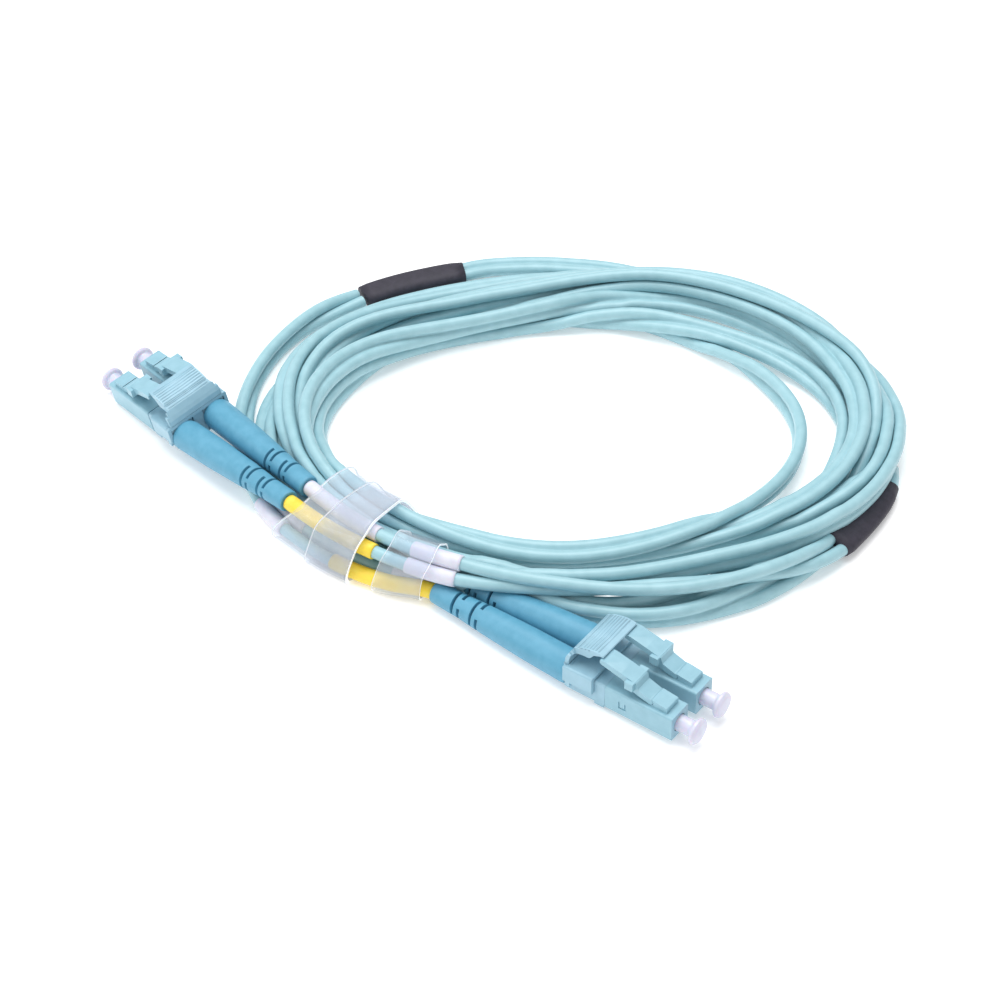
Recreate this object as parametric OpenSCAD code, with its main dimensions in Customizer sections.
// Duplex fiber optic patch cord, coiled and wrapped as supplied.
// Two simplex push-pull plugs on a common clip at each end, a round-pair cord
// that splits into two single legs near each end, and the coil held by film.
// Millimetres. +Z is up, the coil and the plugs rest on Z = 0.
// The origin is under the middle of the whole part.

/* [Plug] */
// Distance between the two ferrule axes of one connector
plug_pitch = 6.25; // [6.25:0.01:6.27]
// Width and height of a plug body
plug_w = 4.2; // [4.15:0.05:4.25]
// Length of the front housing
plug_len = 11.2; // [11.15:0.05:11.25]
// Ferrule outer diameter
ferrule_d = 1.25; // [1.245:0.001:1.25]
// How far a ferrule stands out of the front housing
ferrule_out = 1.9; // [1.8:0.05:1.9]
// Bore of the front housing round the ferrule
nose_bore_d = 2.8; // [2.7:0.05:2.85]
// Fibre bore in the ferrule
fibre_d = 0.125; // [0.125:0.001:0.127]

/* [Latch and trigger] */
// Width of a latch arm
latch_w = 2.9; // [2.8:0.05:2.95]
// Width across the latch ears
ears_w = 4.2; // [4.1:0.05:4.2]
// Width of the front of the duplex trigger
trigger_w = 8.4; // [8.2:0.05:8.4]
// Thickness of the clip walls
clip_t = 0.6; // [0.55:0.05:0.6]

/* [Boot and cap] */
// Length of a strain relief boot
boot_len = 25.8; // [25.5:0.1:25.8]
// Diameter of a boot at the clip
boot_base_d = 5.15; // [5.05:0.05:5.15]
// Diameter of a boot at its tip
boot_tip_d = 3.5; // [3.4:0.05:3.5]
// Diameter of a dust cap barrel
cap_d = 2.5; // [2.4:0.05:2.5]
// Diameter of a dust cap head
cap_head_d = 4.0; // [3.8:0.05:4.0]

/* [Cord] */
// Diameter of one leg of the cord
leg_d = 2.0; // [1.9:0.05:2.0]
// Diameter of the identification sleeves
sleeve_d = 2.5; // [2.4:0.05:2.5]
// Width of the black shrink tube at a split
shrink_w = 5.2; // [5.0:0.1:5.2]
// Height of the black shrink tube
shrink_h = 2.9; // [2.7:0.1:2.9]
// Thickness of the film wraps
film_t = 0.2; // [0.15:0.05:0.2]

/* [Hidden] */
$fn = 64;

// Colours
aqua = [0.60, 0.82, 0.86];
clip_blue = [0.62, 0.80, 0.86];
boot_blue = [0.41, 0.69, 0.81];

// Where the part's middle lies in the layout frame
SHIFT = [0.8, -4.18, 0];

// Pose of each connector: point midway between the plug faces, and roll, pitch, yaw
E1_POS = [26.9, -47.6, 0.9] + SHIFT;
E1_ROT = [0, -1, -36.5];
E2_POS = [-59.2, 27.4, 1.0] + SHIFT;
E2_ROT = [-10, 4, 131];

half = plug_pitch / 2;
// Height of the ferrule axis above the plug's underside
axis_z = plug_w / 2;
// Latch root pivot and trigger pivot, in the connector frame (x forward, z up)
LATCH_PIVOT = [-4.15, 4.85];
TRIGGER_PIVOT = [-17.85, 5.05];
// How far each boot leans, as the sideways place of its tip
TIP_1A = -1.85;
TIP_1B = 1.85;
TIP_2A = -2.2;
TIP_2B = 1.8;

module end1() { translate(E1_POS) rotate(E1_ROT) children(); }
module end2() { translate(E2_POS) rotate(E2_ROT) children(); }

// A point of a connector's own frame, in the part's frame
function rot_x(a, p) = [p[0], p[1]*cos(a) - p[2]*sin(a), p[1]*sin(a) + p[2]*cos(a)];
function rot_y(a, p) = [p[0]*cos(a) + p[2]*sin(a), p[1], -p[0]*sin(a) + p[2]*cos(a)];
function rot_z(a, p) = [p[0]*cos(a) - p[1]*sin(a), p[0]*sin(a) + p[1]*cos(a), p[2]];
function placed(pos, rot, p) = pos + rot_z(rot[2], rot_y(rot[1], rot_x(rot[0], p)));

// ---------- plug parts, each in the connector frame, y0 = sideways place ----------

module rounded_square(w, h, r) {
    translate([-w/2 + r, 0]) square([w - 2*r, h]);
    translate([-w/2, r]) square([w, h - 2*r]);
    for (x = [-w/2 + r, w/2 - r]) for (y = [r, h - r]) translate([x, y]) circle(r);
}

// Bar along x with a rounded section, from x0 to x1
module bar_x(x0, x1, w, h, r) {
    translate([x0, 0, 0]) rotate([90, 0, 90]) linear_extrude(x1 - x0) rounded_square(w, h, r);
}

// Round rod along x, from x0 to x1
module rod_x(x0, x1, d) {
    translate([x0, 0, 0]) rotate([0, 90, 0]) cylinder(h = x1 - x0, d = d);
}

// Extrudes an x-z outline sideways, centred on y = 0
module slab_y(w) {
    translate([0, w/2, 0]) rotate([90, 0, 0]) linear_extrude(w) children();
}

module plug_housing(y0) {
    color(aqua) translate([0, y0, 0]) difference() {
        union() {
            bar_x(-plug_len, 0, plug_w, plug_w, 0.35);
            // fixed root block of the latch
            difference() {
                slab_y(latch_w) polygon([[-1.25, plug_w - 0.2], [-1.25, 5.0], [-1.35, 5.1],
                    [-3.7, 5.4], [-4.3, 5.3], [-4.3, plug_w - 0.2]]);
                translate([LATCH_PIVOT[0], 2, LATCH_PIVOT[1]]) rotate([90, 0, 0]) cylinder(h = 4, r = 0.6);
                translate([-6, -2, LATCH_PIVOT[1]]) cube([6 + LATCH_PIVOT[0], 4, 2]);
            }
        }
        translate([0, 0, axis_z]) {
            rod_x(-4.4, 0.1, nose_bore_d);
            rod_x(-5.1, -4.3, 1.72);
            rod_x(-plug_len - 0.1, -5.0, 3.3);
        }
        // moulding recess on one side
        translate([-7.9, -plug_w/2 - 0.1, 1.35]) cube([0.25, 0.25, 1.2]);
        translate([-8.9, -plug_w/2 - 0.1, 1.35]) cube([1.1, 0.25, 0.25]);
        translate([-8.9, -plug_w/2 - 0.1, 1.35]) cube([0.25, 0.25, 1.2]);
    }
}

module rear_housing(y0) {
    color(clip_blue) translate([0, y0, 0]) difference() {
        union() {
            translate([0, 0, 0.05]) bar_x(-17.95, -plug_len - 0.08, plug_w - 0.15, plug_w - 0.15, 0.3);
            translate([0, 0, axis_z]) rod_x(-plug_len - 0.2, -9.9, 3.2);
            // foot under the front edge
            translate([-13.05, -2.0, -0.25]) cube([1.6, 4.0, 0.5]);
        }
        translate([0, 0, axis_z]) {
            rod_x(-14.5, -9.8, 2.7);
            rod_x(-15.1, -14.4, 2.0);
            rod_x(-18.1, -15.0, 3.0);
        }
    }
}

// Moving latch arm: root roller, ramp, step, back and tail lip
module latch(y0) {
    color(aqua) translate([0, y0, 0]) union() {
        translate([LATCH_PIVOT[0], latch_w/2, LATCH_PIVOT[1]]) rotate([90, 0, 0]) cylinder(h = latch_w, r = 0.5);
        slab_y(latch_w) polygon([[-4.15, 5.35], [-6.15, 6.05], [-6.5, 7.0], [-9.0, 7.6], [-11.6, 8.2],
            [-12.55, 8.2], [-12.6, 8.1], [-12.6, 7.6], [-12.3, 7.4], [-11.4, 7.15], [-8.7, 6.5],
            [-8.0, 5.85], [-7.0, 5.15], [-5.6, 4.75], [-4.15, 4.38]]);
        // ears that catch in the adapter
        translate([-8.0, -ears_w/2, 5.75]) cube([1.35, ears_w, 1.35]);
    }
}

module ferrule(y0) {
    color("white") translate([0, y0, axis_z]) difference() {
        union() {
            rod_x(-6.6, ferrule_out - 0.12, ferrule_d);
            translate([ferrule_out - 0.12, 0, 0]) rotate([0, 90, 0]) cylinder(h = 0.12, d1 = ferrule_d, d2 = ferrule_d - 0.24);
        }
        rod_x(-6.7, 2, fibre_d);
    }
}

// Metal barrel that holds the ferrule and takes the spring
module flange(y0) {
    color("silver") translate([0, y0, axis_z]) difference() {
        union() {
            rod_x(-5.08, -4.5, 1.66);
            rod_x(-6.9, -5.08, 2.9);
            rod_x(-10.4, -6.9, 1.5);
        }
        rod_x(-6.62, -4, ferrule_d + 0.02);
        rod_x(-10.5, -6.5, 0.95);
    }
}

// Swept closed tube of m sides along a list of points, with half widths a and b
function unit(v) = v / norm(v);
function side_at(P, i) = let (n = len(P), t = unit(P[min(i + 1, n - 1)] - P[max(i - 1, 0)]))
    unit(cross(t, [0, 0, 1]));
function up_at(P, i) = let (n = len(P), t = unit(P[min(i + 1, n - 1)] - P[max(i - 1, 0)]))
    cross(side_at(P, i), t);
module swept(P, a, b, m = 8) {
    n = len(P);
    pts = [for (i = [0:n-1]) for (k = [0:m-1])
        P[i] + a*cos(360*k/m + 180/m)*side_at(P, i) + b*sin(360*k/m + 180/m)*up_at(P, i)];
    sides = [for (i = [0:n-2]) for (k = [0:m-1])
        [i*m + k, (i+1)*m + k, (i+1)*m + (k+1)%m, i*m + (k+1)%m]];
    polyhedron(points = pts, faces = concat(sides,
        [[for (k = [0:m-1]) k]], [[for (k = [m-1:-1:0]) (n-1)*m + k]]), convexity = 6);
}

// Compression spring behind the flange
spring_turns = 8;
module spring(y0) {
    P = [for (i = [0:spring_turns*9]) let (a = 40*i)
        [-7.12 - 7.15*i/(spring_turns*9), 1.08*cos(a), 1.08*sin(a)]];
    n = len(P);
    m = 6;
    pts = [for (i = [0:n-1]) let (a = 40*i) for (k = [0:m-1])
        P[i] + 0.14*cos(60*k)*[0, cos(a), sin(a)] + 0.14*sin(60*k)*[1, 0, 0]];
    color("gray") translate([0, y0, axis_z]) polyhedron(points = pts, faces = concat(
        [for (i = [0:n-2]) for (k = [0:m-1]) [i*m + k, (i+1)*m + k, (i+1)*m + (k+1)%m, i*m + (k+1)%m]],
        [[for (k = [0:m-1]) k]], [[for (k = [m-1:-1:0]) (n-1)*m + k]]), convexity = 10);
}

module crimp_body(y0) {
    color("lightgray") translate([0, y0, axis_z]) difference() {
        union() {
            rod_x(-17.9, -15.05, 2.94);
            rod_x(-21.5, -17.9, 2.3);
        }
        rod_x(-22, -15, 1.4);
    }
}

module crimp_sleeve(y0) {
    color("silver") translate([0, y0, axis_z]) difference() {
        rod_x(-22.4, -18.4, 2.95);
        rod_x(-22.5, -18.3, 2.4);
    }
}

module boot(y0, tip_y) {
    lean = asin((tip_y - y0)/boot_len);
    color(boot_blue) translate([-18.15, y0, axis_z]) rotate([0, 0, -lean]) rotate([0, -90, 0])
        rotate_extrude() polygon([[1.76, 0], [boot_base_d/2 - 0.1, 0], [boot_base_d/2, 0.1],
            [boot_base_d/2 - 0.1, 8], [2.15, 16], [1.85, 20.5], [boot_tip_d/2, boot_len],
            [leg_d/2 + 0.05, boot_len], [leg_d/2 + 0.05, 5.6], [1.76, 4.5]]);
}

module dust_cap(y0) {
    color("whitesmoke") translate([0, y0, axis_z]) rotate([0, 90, 0]) rotate_extrude() polygon([
        [ferrule_d/2 + 0.06, -4.1], [cap_d/2 - 0.05, -4.1], [cap_d/2, -3.9], [cap_d/2, 2.1], [1.4, 2.35],
        [cap_head_d/2 - 0.2, 2.55], [cap_head_d/2, 2.8], [cap_head_d/2, 3.15], [cap_head_d/2 - 0.2, 3.4],
        [1.3, 3.55], [0, 3.6], [0, ferrule_out + 0.1], [ferrule_d/2 + 0.06, ferrule_out + 0.1]]);
}

// Saddle that joins the two rear housings and carries the trigger's pivot groove
module duplex_clip() {
    w = plug_pitch + plug_w + 2*clip_t + 0.05;
    color(clip_blue) difference() {
        union() {
            // roof and side walls
            difference() {
                translate([0, 0, 1.8]) bar_x(-18.1, -13.1, w, 3.05, 0.35);
                translate([-19, -w/2 + clip_t, 0]) cube([8, w - 2*clip_t, 4.25]);
            }
            // web between the housings, with a foot that holds them from below
            translate([-18.1, -0.95, -0.2]) cube([5, 1.9, 4.6]);
            translate([-18.1, -1.6, -0.2]) cube([5, 3.2, 0.2]);
            // small lugs at the back of the walls
            for (s = [-1, 1]) translate([-17.7, s*(w/2 - clip_t/2) - clip_t/2, 1.2]) cube([0.8, clip_t, 1]);
            // ridge that the pivot groove is cut in
            translate([-18.3, -5.2, 4.4]) cube([1.1, 10.4, 0.55]);
        }
        translate([TRIGGER_PIVOT[0], 7, TRIGGER_PIVOT[1]]) rotate([90, 0, 0]) cylinder(h = 14, r = 0.42);
    }
}

// Thumb lever over both latches
module trigger() {
    color(clip_blue) union() {
        translate([TRIGGER_PIVOT[0], 5.1, TRIGGER_PIVOT[1]]) rotate([90, 0, 0]) cylinder(h = 10.2, r = 0.35);
        // back wall, as wide as the clip
        slab_y(10.2) polygon([[-18.2, 5.05], [-18.1, 5.9], [-17.8, 6.6], [-17.25, 6.6], [-17.5, 5.7], [-17.55, 5.05]]);
        slab_y(9.3) polygon([[-17.85, 6.5], [-17.35, 7.4], [-16.95, 6.9], [-17.2, 6.5]]);
        // ribbed top and front lip
        difference() {
            slab_y(trigger_w) polygon([[-17.8, 6.5], [-17.3, 7.5], [-16.1, 8.25], [-14.9, 8.6], [-13.9, 8.8],
                [-13.1, 8.75], [-12.3, 8.65], [-12.2, 8.5], [-12.3, 8.35], [-12.9, 8.32], [-13.9, 7.9],
                [-14.4, 7.2], [-14.8, 6.95], [-15.9, 6.9], [-16.8, 6.7], [-17.25, 6.3]]);
            for (i = [0:4]) translate([-17.15 + 0.62*i, -6, 7.72 + 0.26*i - 0.02*i*i])
                rotate([0, 90 - 62 + 8*i, 0]) rotate([-90, 0, 0]) cylinder(h = 12, d = 0.22, $fn = 16);
        }
    }
}

// ---------- the coil: a hand-laid oval of 27 stations, about 10 mm apart ----------

OVAL = [[-35, 15], [-35, 25], [-31.5, 34], [-25.5, 42.5], [-17.5, 48], [-8, 52], [1.5, 53.5],
        [11.5, 54], [21.5, 52.5], [31, 49.5], [39.5, 44.5], [47, 37.5], [52.5, 29.5], [56, 19.5],
        [56, 10.5], [52.5, 0.5], [47, -7.5], [39, -14], [31, -19], [21, -22.5], [11, -23.5],
        [1.5, -22.5], [-8, -19.5], [-16.5, -14.5], [-24.5, -8], [-30.5, 0], [-34.5, 9.5]];
function ov(i) = OVAL[((i % 27) + 27) % 27];
function spline(a, b, c, d, t) = 0.5*(2*b + (c - a)*t + (2*a - 5*b + 4*c - d)*t*t + (3*b - a - 3*c + d)*t*t*t);
function oval(u) = let (k = floor(u), t = u - k) spline(ov(k-1), ov(k), ov(k+1), ov(k+2), t);
function out(u) = let (t = oval(u + 0.05) - oval(u - 0.05)) [-t[1], t[0]]/norm(t);
// Point at station u, n outwards from the oval, z up
function at(u, n, z) = let (p = oval(u) + n*out(u)) [p[0], p[1], z] + SHIFT;

// Route of a leg from hand-set points [station, outwards, height], smoothed
function mid4(Q, k, t) = let (n = len(Q)) spline(Q[max(k-1, 0)], Q[k], Q[min(k+1, n-1)], Q[min(k+2, n-1)], t);
function dense(Q, step) = concat([for (k = [0:len(Q)-2]) for (j = [0:step-1]) mid4(Q, k, j/step)], [Q[len(Q)-1]]);
function laid(Q, step = 2) = [for (q = dense(Q, step)) at(q[0], q[1], q[2])];

// Outline of the wound coil: [station, outer edge, inner edge, height]
COIL = [[0, 3.4, -7, 4.4], [1, 1.6, -10.6, 4.4], [2, 2.3, -12.6, 4], [3, 2.2, -13.6, 4], [4, 1.6, -14, 4],
        [5, 1.5, -13.8, 4], [5.3, 3, -13.6, 3.8], [5.7, 8, -13, 3.6], [6.5, 8, -12.6, 3.6], [7, 7.2, -12, 3.6],
        [8, 6, -11.2, 4.2], [9, 6.2, -11, 4.2], [10, 6.6, -10.6, 4.2], [11, 7, -11.5, 4.2], [12, 8, -11.6, 4],
        [13, 8, -10.6, 4], [14, 7.6, -9.6, 4], [14.5, 7, -9.4, 4], [14.9, 3.6, -9.4, 4.4], [16.4, 3.6, -9.6, 4.4],
        [17, 6, -9.8, 3.4], [18, 7.4, -9.8, 3.4], [19, 7.4, -9.6, 3.4], [19.7, 5, -9.4, 3.6], [20.4, 2.4, -9.4, 4],
        [21, 0.4, -9.4, 4.4], [21.6, -1.4, -9.2, 4.8], [22.3, -2.2, -9, 5], [23, -0.6, -8.8, 5],
        [24, 0, -7.8, 4.8], [24.6, 1.4, -7.4, 4.4], [25.2, 2.6, -6.8, 4.2], [26, 3.2, -6.4, 4.2]];
module cord_coil() {
    n = len(COIL);
    m = 12;
    pts = [for (q = COIL) for (k = [0:m-1]) let (c = cos(360*k/m), s = sin(360*k/m))
        at(q[0], (q[1] + q[2])/2 + (q[1] - q[2])/2*sign(c)*pow(abs(c), 0.8),
           0.3 + (q[3] - 0.3)/2*(1 + sign(s)*pow(abs(s), 0.8)))];
    color(aqua) polyhedron(points = pts, faces = [for (i = [0:n-1]) for (k = [0:m-1])
        [((i+1)%n)*m + k, i*m + k, i*m + (k+1)%m, ((i+1)%n)*m + (k+1)%m]], convexity = 6);
}

// Legs: straight out of the boot, then along hand-set points to the split
function boot_line(pos, rot, y0, tip_y, x) = placed(pos, rot,
    [x, y0 + (tip_y - y0)*(-18.15 - x)/boot_len, axis_z]);
LEG_1A = [[23, 4.2, 1.4], [24, 4.8, 1.4], [25, 6.2, 1.3], [26, 6.8, 1.05], [27, 6.9, 1.05], [28, 6.9, 1.05],
          [29, 6.8, 1.05], [30, 6.9, 1.2], [30.5, 7.1, 1.5]];
LEG_1B = [[23, 1.55, 1.4], [24, 2.15, 1.4], [25, 3.5, 1.3], [26, 4.6, 1.05], [27, 4.8, 1.05], [28, 4.7, 1.05],
          [29, 4.6, 1.05], [30, 4.7, 1.2], [30.5, 5.0, 1.5]];
LEG_2A = [[23.6, 0.6, 6.5], [22.4, 1.0, 6.3], [21.5, 1.2, 6.0], [20.5, 1.5, 6.3], [19.8, 3.0, 6.0],
          [19, 5.2, 4.8], [18, 5.8, 4.4], [17, 5.6, 4.2], [16.5, 5.6, 3.2], [16.1, 5.7, 1.8]];
LEG_2B = [[23.6, 4.4, 6.0], [22.4, 3.8, 5.6], [21.5, 3.2, 5.6], [21.1, 2.1, 5.4], [20.6, 1.5, 4.7], [19.8, 1.2, 4.7],
          [19, 2.4, 4.7], [18, 3.4, 4.4], [17.2, 5.4, 2.4], [16.5, 7.7, 2.2], [16.1, 7.8, 1.8]];
module leg_tube(pos, rot, y0, tip_y, Q) {
    P = concat([for (x = [-43, -44.2, -45.6]) boot_line(pos, rot, y0, tip_y, x)], laid(Q, 2));
    color(aqua) swept(P, leg_d/2, leg_d/2, 8);
}

// Black shrink tube over the split, an oval sleeve along the coil
module shrink_tube(u0, u1, n0, n1, z) {
    P = [for (i = [0:8]) let (u = u0 + (u1 - u0)*i/8) at(u, n0 + (n1 - n0)*i/8, z)];
    color([0.2, 0.2, 0.22]) swept(P, shrink_w/2, shrink_h/2, 16);
}

// Straight sleeve round a leg between two of its stations
function route_at(Q, u, k = 0) = (k >= len(Q) - 2 || (Q[k][0] - u)*(Q[k+1][0] - u) <= 0)
    ? let (t = (u - Q[k][0])/(Q[k+1][0] - Q[k][0])) mid4(Q, k, t) : route_at(Q, u, k + 1);
module sleeve_on(Q, u0, u1, d) {
    P = [for (i = [0:5]) let (q = route_at(Q, u0 + (u1 - u0)*i/5)) at(q[0], q[1], q[2])];
    n = len(P);
    m = 16;
    function loop(r) = [for (i = [0:n-1]) for (k = [0:m-1])
        P[i] + r*cos(360*k/m)*side_at(P, i) + r*sin(360*k/m)*up_at(P, i)];
    N = n*m;
    polyhedron(points = concat(loop(d/2), loop(leg_d/2 + 0.06)), faces = concat(
        [for (i = [0:n-2]) for (k = [0:m-1]) [i*m + k, (i+1)*m + k, (i+1)*m + (k+1)%m, i*m + (k+1)%m]],
        [for (i = [0:n-2]) for (k = [0:m-1]) [N + i*m + k, N + i*m + (k+1)%m, N + (i+1)*m + (k+1)%m, N + (i+1)*m + k]],
        [for (k = [0:m-1]) [k, (k+1)%m, N + (k+1)%m, N + k]],
        [for (k = [0:m-1]) [(n-1)*m + k, N + (n-1)*m + k, N + (n-1)*m + (k+1)%m, (n-1)*m + (k+1)%m]]), convexity = 6);
}
module id_sleeves_yellow() {
    color([0.94, 0.84, 0.31]) {
        sleeve_on(LEG_1A, 23.05, 23.8, sleeve_d);
        sleeve_on(LEG_2B, 23.5, 22.9, sleeve_d);
    }
}
module id_sleeves_white() {
    color([0.93, 0.93, 0.96]) {
        sleeve_on(LEG_1B, 23.05, 23.8, sleeve_d);
        sleeve_on(LEG_2A, 23.5, 22.9, sleeve_d);
    }
}
module leg_markers() {
    color([0.95, 0.95, 0.97]) {
        sleeve_on(LEG_1A, 24.4, 25, sleeve_d);
        sleeve_on(LEG_1B, 24.4, 25, sleeve_d);
        sleeve_on(LEG_2A, 22.4, 21.8, sleeve_d);
        sleeve_on(LEG_2B, 22.4, 21.8, sleeve_d);
    }
}

// Closed band of clear film round the bundle
module film_band(u0, u1, n0, n1, h) {
    um = (u0 + u1)/2;
    a = at(u0, (n0 + n1)/2, 0);
    b = at(u1, (n0 + n1)/2, 0);
    yaw = atan2(b[1] - a[1], b[0] - a[0]);
    function ring(g) = [for (k = [0:31]) let (c = cos(360*k/32), s = sin(360*k/32))
        [((n1 - n0)/2 + g)*sign(c)*pow(abs(c), 0.7), h/2 + (h/2 + g)*sign(s)*pow(abs(s), 0.7)]];
    color([0.85, 0.9, 0.95, 0.4]) translate([a[0], a[1], film_t + 0.02]) rotate([90, 0, yaw + 90])
        linear_extrude(norm(b - a)) difference() {
            polygon(ring(film_t));
            polygon(ring(0));
        }
}

end1() plug_housing(-half);  // plug_housing_1a
end1() plug_housing(half);  // plug_housing_1b
end2() plug_housing(-half);  // plug_housing_2a
end2() plug_housing(half);  // plug_housing_2b
end1() rear_housing(-half);  // rear_housing_1a
end1() rear_housing(half);  // rear_housing_1b
end2() rear_housing(-half);  // rear_housing_2a
end2() rear_housing(half);  // rear_housing_2b
end1() latch(-half);  // latch_1a
end1() latch(half);  // latch_1b
end2() latch(-half);  // latch_2a
end2() latch(half);  // latch_2b
end1() ferrule(-half);  // ferrule_1a
end1() ferrule(half);  // ferrule_1b
end2() ferrule(-half);  // ferrule_2a
end2() ferrule(half);  // ferrule_2b
end1() flange(-half);  // flange_1a
end1() flange(half);  // flange_1b
end2() flange(-half);  // flange_2a
end2() flange(half);  // flange_2b
end1() spring(-half);  // spring_1a
end1() spring(half);  // spring_1b
end2() spring(-half);  // spring_2a
end2() spring(half);  // spring_2b
end1() crimp_body(-half);  // crimp_body_1a
end1() crimp_body(half);  // crimp_body_1b
end2() crimp_body(-half);  // crimp_body_2a
end2() crimp_body(half);  // crimp_body_2b
end1() crimp_sleeve(-half);  // crimp_sleeve_1a
end1() crimp_sleeve(half);  // crimp_sleeve_1b
end2() crimp_sleeve(-half);  // crimp_sleeve_2a
end2() crimp_sleeve(half);  // crimp_sleeve_2b
end1() boot(-half, TIP_1A);  // boot_1a
end1() boot(half, TIP_1B);  // boot_1b
end2() boot(-half, TIP_2A);  // boot_2a
end2() boot(half, TIP_2B);  // boot_2b
end1() dust_cap(-half);  // dust_cap_1a
end1() dust_cap(half);  // dust_cap_1b
end2() dust_cap(-half);  // dust_cap_2a
end2() dust_cap(half);  // dust_cap_2b
end1() duplex_clip();  // duplex_clip_1
end2() duplex_clip();  // duplex_clip_2
end1() trigger();  // trigger_1
end2() trigger();  // trigger_2
leg_tube(E1_POS, E1_ROT, -half, TIP_1A, LEG_1A);  // leg_1a
leg_tube(E1_POS, E1_ROT, half, TIP_1B, LEG_1B);  // leg_1b
leg_tube(E2_POS, E2_ROT, -half, TIP_2A, LEG_2A);  // leg_2a
leg_tube(E2_POS, E2_ROT, half, TIP_2B, LEG_2B);  // leg_2b
cord_coil();
shrink_tube(30.52, 32.3, 6.0, 6.4, 1.6);  // shrink_tube_1
shrink_tube(16.08, 14.6, 6.7, 6.6, 1.6);  // shrink_tube_2
id_sleeves_yellow();
id_sleeves_white();
leg_markers();
film_band(22.9, 24.35, -9.2, 6.6, 8.2);  // film_wrap_wide
film_band(22.2, 22.8, -9.6, 5.8, 8);  // film_wrap_narrow
